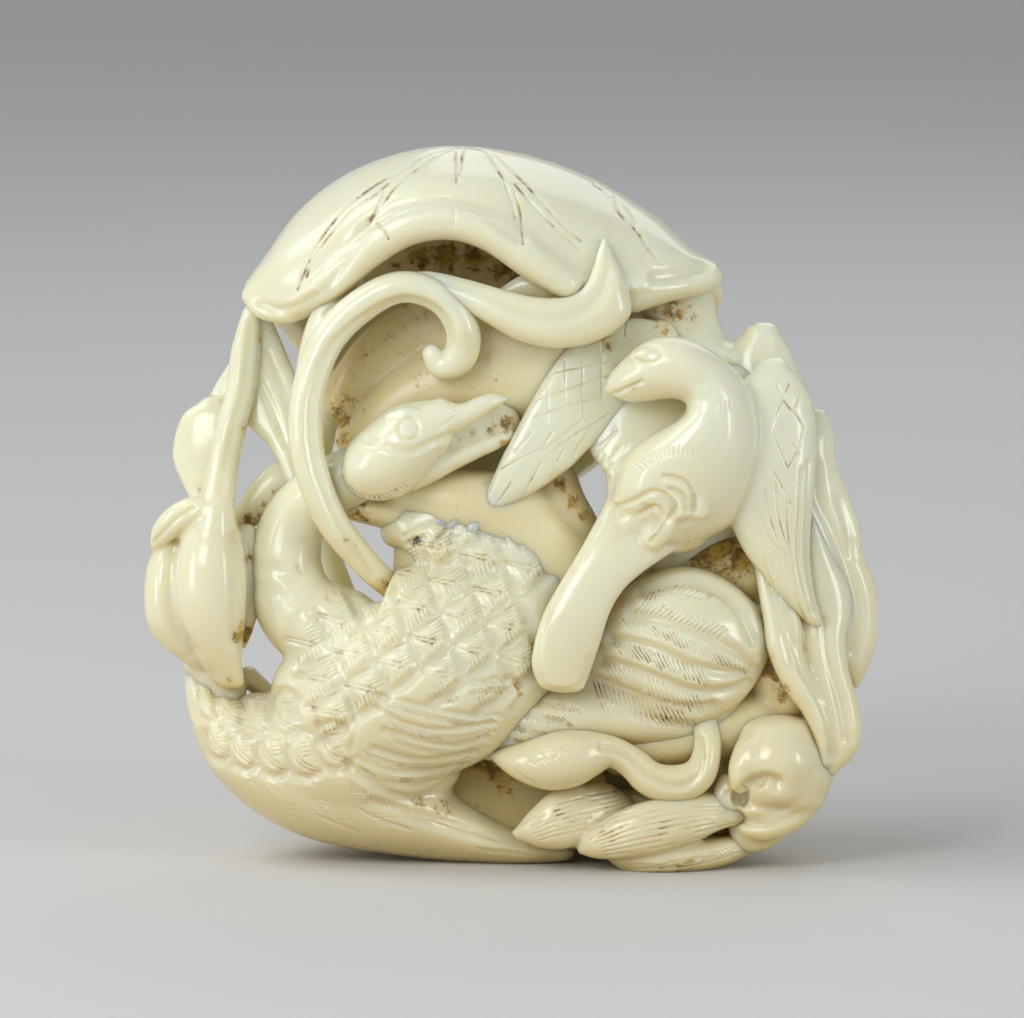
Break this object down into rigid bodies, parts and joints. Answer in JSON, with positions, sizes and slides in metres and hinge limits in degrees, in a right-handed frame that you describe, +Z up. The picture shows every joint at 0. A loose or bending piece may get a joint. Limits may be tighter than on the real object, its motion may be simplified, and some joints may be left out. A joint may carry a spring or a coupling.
{
  "type": "jade carving",
  "caption": "Openwork white jade carving of a goose and a falcon under a lotus leaf, standing on its own underside.",
  "frame": {"origin": "on the surface it stands on, under the middle of the bounding box", "axes": "+Z up as it stands, -Y out of the carved front with both birds, +X from the goose towards the falcon"},
  "size_m": [0.0728, 0.0408, 0.0704],
  "materials": {
    "jade": null
  },
  "bodies": {
    "root": {"carving": "jade"}
  },
  "joints": []
}
